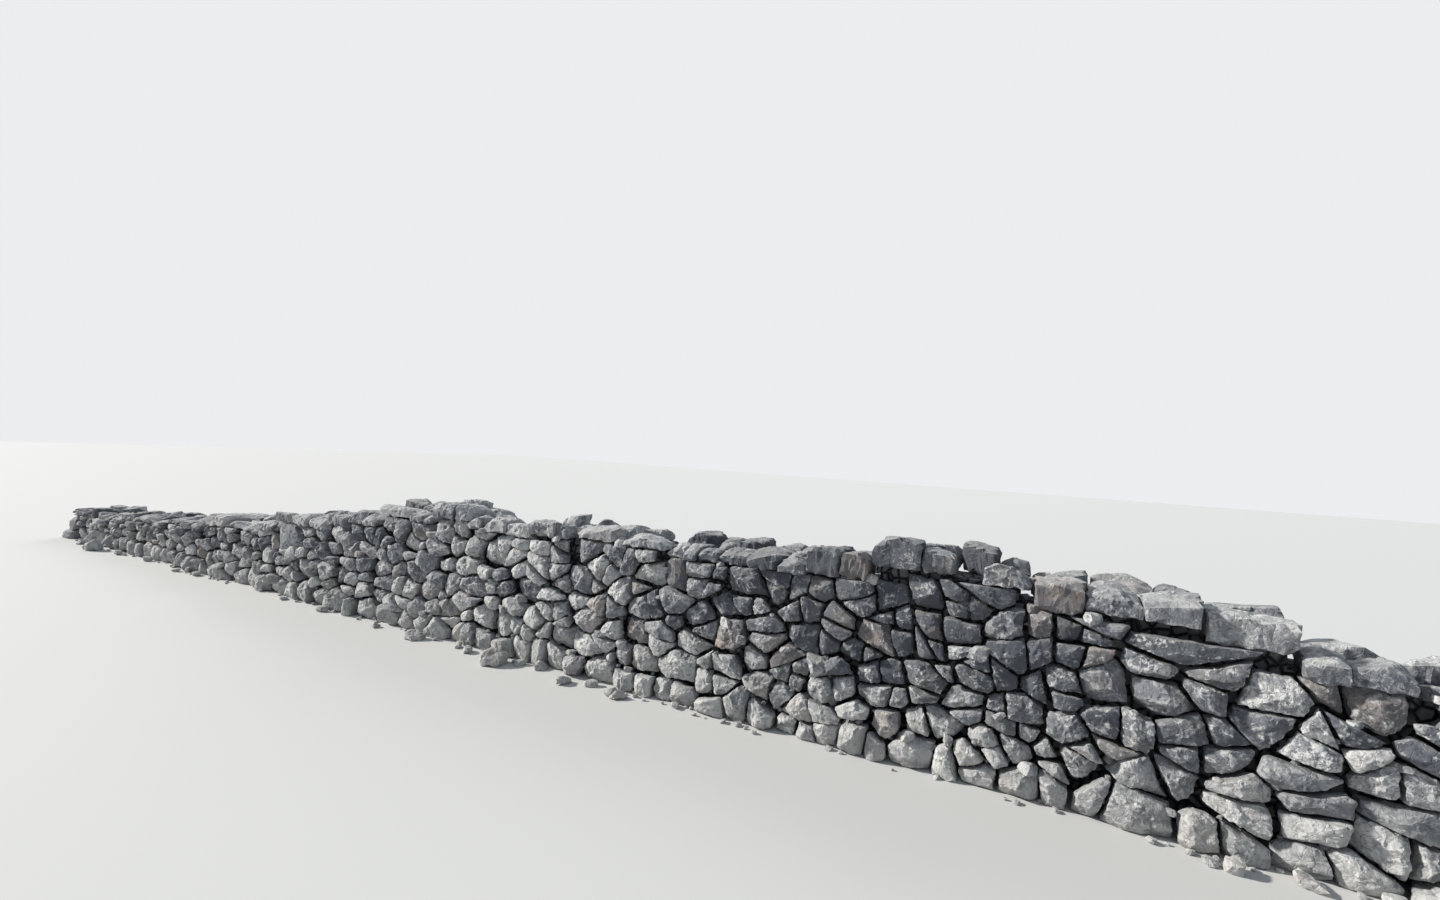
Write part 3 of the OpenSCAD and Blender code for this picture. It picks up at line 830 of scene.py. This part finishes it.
for facing, side_name, most in PIN_FACES:
    xs = np.arange(low_corner[0] + GRID_MARGIN, high_corner[0] - GRID_MARGIN, GRID)
    zs = np.arange(GRID_FOOT, high_corner[2], GRID)
    out = np.array([[face_at(x, z, facing) for z in zs] for x in xs])
    # a hole lies well behind the stones around it, with stone above it and below it
    span = 2 * FRONT_REACH + 1
    around_it = windows(out, (span, span), FRONT_REACH)
    front = np.percentile(around_it.reshape(*out.shape, span * span), FRONT_PERCENTILE, axis=2)
    column = windows(out, STONE_REACH, ((0, 0), (STONE_REACH, STONE_REACH)), 1).max(2)
    above, below = column[:, STONE_REACH + 1:], column[:, :-STONE_REACH - 1]
    deep = np.where(xs > NEAR_X, NEAR_HOLE_DEPTH, HOLE_DEPTH)[:, None]
    hole = (front - out > deep) & (np.minimum(above, below) > front - HOLE_RIM)
    spots = np.argwhere(hole)
    rng = np.random.default_rng(7 + facing)
    rng.shuffle(spots)
    heap, taken = Heap(), np.zeros((0, 3))
    for i, k in spots:
        if len(heap.points) >= most:
            break
        if xs[i] > FEW_X and rng.uniform() < LEFT_OUT:
            continue
        x = xs[i] + rng.uniform(-PIN_SHIFT, PIN_SHIFT)
        z = zs[k] + rng.uniform(-PIN_SHIFT, PIN_SHIFT)
        size = rng.uniform(*PIN_SIZE)
        if (np.hypot(taken[:, 0] - x, taken[:, 1] - z) < PIN_SPACING * (taken[:, 2] + size)).any():
            continue
        taken = np.vstack([taken, (x, z, size)])
        place = np.array([x, facing * (front[i, k] - rng.uniform(*PIN_INSET) - size), z])
        radii = (size * rng.uniform(1.0, 1.6), size * rng.uniform(0.8, 1.1), size)
        points, tris, edge = pebble(place, radii, PIN_DETAIL, rng)
        heap.add(points, tris, rng.uniform(*PIN_TONE), max(0, rng.uniform(-1, 1)), PIN_DEPTH, edge)
    piece = heap.piece("pinning_" + side_name, "rubble")
    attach(piece, "root")


# ---------------------------------------------------------------- loose rubble

RUBBLE_DETAIL = (11, 6, np.pi * 0.9)
TOP_TRIES, TOP_X, TOP_Y = 3400, (-6.25, 6.3), (-0.33, 0.33)
TOP_SIZES, TOP_SHARES = ((0.016, 0.045), (0.045, 0.075)), [0.8, 0.2]
LEAST_TOP, HOLLOW_REACH, HOLLOW_DEPTH = 0.1, 0.08, 0.03
TOP_CROWDING, TOP_LIFT = 0.7, 0.2  # top stones may overlap a little, and sink in
FOOT_TRIES, FOOT_X = ((-1, 210), (1, 120)), (-6.2, 6.25)
FOOT_SIZES, FOOT_SHARES = ((0.009, 0.020), (0.020, 0.048)), [0.6, 0.4]
FOOT_SPREAD, FOOT_LIFT = 0.03, 0.55

rng = np.random.default_rng(41)
loose, placed = Heap(), []


def land(x, y):
    """Height of what lies under a point on the wall."""
    start, down = (x, y, 3), (0, 0, -1)
    kinds = ("capping_", "road_face_", "field_face_", "footing_")
    heights = [0.0] + [spot.z for spot in hits_near(x, kinds, start, down)]
    hit, spot, _, _ = nodes["hearting_" + str(bay_at(x))].ray_cast(start, down)
    return max(heights + [spot.z] if hit else heights)


def size_from(ranges, shares):
    """A size from one of two ranges."""
    return rng.choice([rng.uniform(*span) for span in ranges], p=shares)


def radii_of(size, longest):
    """Half the length, width and height of a lying stone."""
    return tuple(size * rng.uniform(*span) for span in ((1.0, longest), (0.8, 1.1), (0.6, 0.9)))


def crowded(x, y, size, share):
    """Whether another loose stone is too near."""
    return any((x - a) ** 2 + (y - b) ** 2 < (size + c) ** 2 * share for a, b, c in placed)


def drop(place, radii, tone, warm):
    points, tris, edge = pebble(np.array(place), radii, RUBBLE_DETAIL, rng)
    loose.add(points, tris, tone, warm, 0.0, edge)


# on top, in the hollows between capping stones
for _ in range(TOP_TRIES):
    x, y = rng.uniform(*TOP_X), rng.uniform(*TOP_Y)
    z = land(x, y)
    east, west, north, south = (land(x + dx, y + dy) - z for dx, dy in (
        (HOLLOW_REACH, 0), (-HOLLOW_REACH, 0), (0, HOLLOW_REACH), (0, -HOLLOW_REACH)))
    size = size_from(TOP_SIZES, TOP_SHARES)
    if z < LEAST_TOP or max(min(east, west), min(north, south)) < HOLLOW_DEPTH:
        continue
    if crowded(x, y, size, TOP_CROWDING):
        continue
    radii = radii_of(size, 1.6)
    placed.append((x, y, size))
    drop((x, y, z + radii[2] * TOP_LIFT), radii,
         rng.uniform(0.35, 1.0), max(0, rng.uniform(-0.4, 1)))
# on the ground, close to the footing
for facing, tries in FOOT_TRIES:
    for _ in range(tries):
        x = rng.uniform(*FOOT_X)
        foot = dressed["footing_" + str(bay_at(x))]
        hit, spot, _, _ = foot.ray_cast((x, facing * 0.8, 0.02), (0, -facing, 0))
        if not hit:
            continue
        size = size_from(FOOT_SIZES, FOOT_SHARES)
        radii = radii_of(size, 1.5)
        gap = abs(rng.normal()) * FOOT_SPREAD
        y = spot.y + facing * (radii[1] * 0.8 + gap)
        if crowded(x, y, size, 1):
            continue
        if abs(y) + size > (-low_corner[1] if facing < 0 else high_corner[1]):
            continue
        placed.append((x, y, size))
        drop((x, y, radii[2] * FOOT_LIFT), radii, rng.uniform(0.6, 1.2), rng.uniform(0.2, 1))
rubble = loose.piece("loose_rubble", "rubble")
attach(rubble, "root")


# ---------------------------------------------------------------- stage, light and camera

FLOOR_GREY, SKY, PAPER = (0.52, 0.52, 0.51), (0.76, 0.87, 1.0), (0.84, 0.85, 0.86)
SKY_LIGHT = 0.46
EYE, LENS, YAW, ROLL = (4.68, -3.70, 1.57), 16, 27.7, 3.3

bpy.ops.mesh.primitive_plane_add(size=80, location=(0, 0, -0.0005))
floor = bpy.context.object
floor.name = "floor"
floor_mat = bpy.data.materials.new("floor")
floor_mat.use_nodes = True
floor_shader = floor_mat.node_tree.nodes["Principled BSDF"]
floor_shader.inputs["Base Color"].default_value = (*FLOOR_GREY, 1)
floor_shader.inputs["Roughness"].default_value = 0.9
floor.data.materials.append(floor_mat)

# the sky lights the wall, and the camera, metal and glass see pale paper instead of it
world = bpy.data.worlds.new("studio")
scene.world = world
world.use_nodes = True
make = Nodes(world.node_tree)
sky = world.node_tree.nodes["Background"]
paper = make.add("Background")
for background, colour, strength in ((sky, SKY, SKY_LIGHT), (paper, PAPER, 1.0)):
    make.feed(background.inputs[0], colour)
    make.feed(background.inputs[1], strength)
path = make.add("LightPath")
seen = path.outputs["Is Camera Ray"]
for ray in ("Is Glossy Ray", "Is Transmission Ray"):
    seen = make.number("MAXIMUM", seen, path.outputs[ray])
blend = make.add("MixShader")
for socket, value in zip(blend.inputs, (seen, sky.outputs[0], paper.outputs[0])):
    make.feed(socket, value)
make.feed(world.node_tree.nodes["World Output"].inputs[0], blend.outputs[0])


def lamp(name, energy, angle, colour, direction):
    """A sun of some softness, in degrees, that shines in a direction."""
    light = bpy.data.lights.new(name, "SUN")
    light.energy = energy
    light.angle = math.radians(angle)
    light.color = colour
    made = bpy.data.objects.new(name, light)
    scene.collection.objects.link(made)
    made.rotation_euler = Vector(direction).to_track_quat("-Z", "Y").to_euler()


lamp("key", 5.9, 4, (1.0, 0.96, 0.90), (0.92, 0.25, -0.49))
lamp("behind", 0.9, 35, (0.94, 0.97, 1.0), (0.25, -0.75, -0.60))

# the camera looks level, turned from y towards the ruined end, and is rolled a little
camera = bpy.data.cameras.new("camera")
camera.sensor_fit = "HORIZONTAL"
camera.sensor_width = 36
camera.lens = LENS
camera_object = bpy.data.objects.new("camera", camera)
scene.collection.objects.link(camera_object)
yaw, roll = math.radians(YAW), math.radians(ROLL)
ahead = Vector((-math.sin(yaw), math.cos(yaw), 0))
level_right = ahead.cross(Vector((0, 0, 1)))
up = Vector((0, 0, 1)) * math.cos(roll) - level_right * math.sin(roll)
right = ahead.cross(up)
turn = Matrix((right, up, -ahead)).transposed().to_4x4()
camera_object.matrix_world = Matrix.Translation(EYE) @ turn
scene.camera = camera_object

scene.view_settings.view_transform = "Standard"
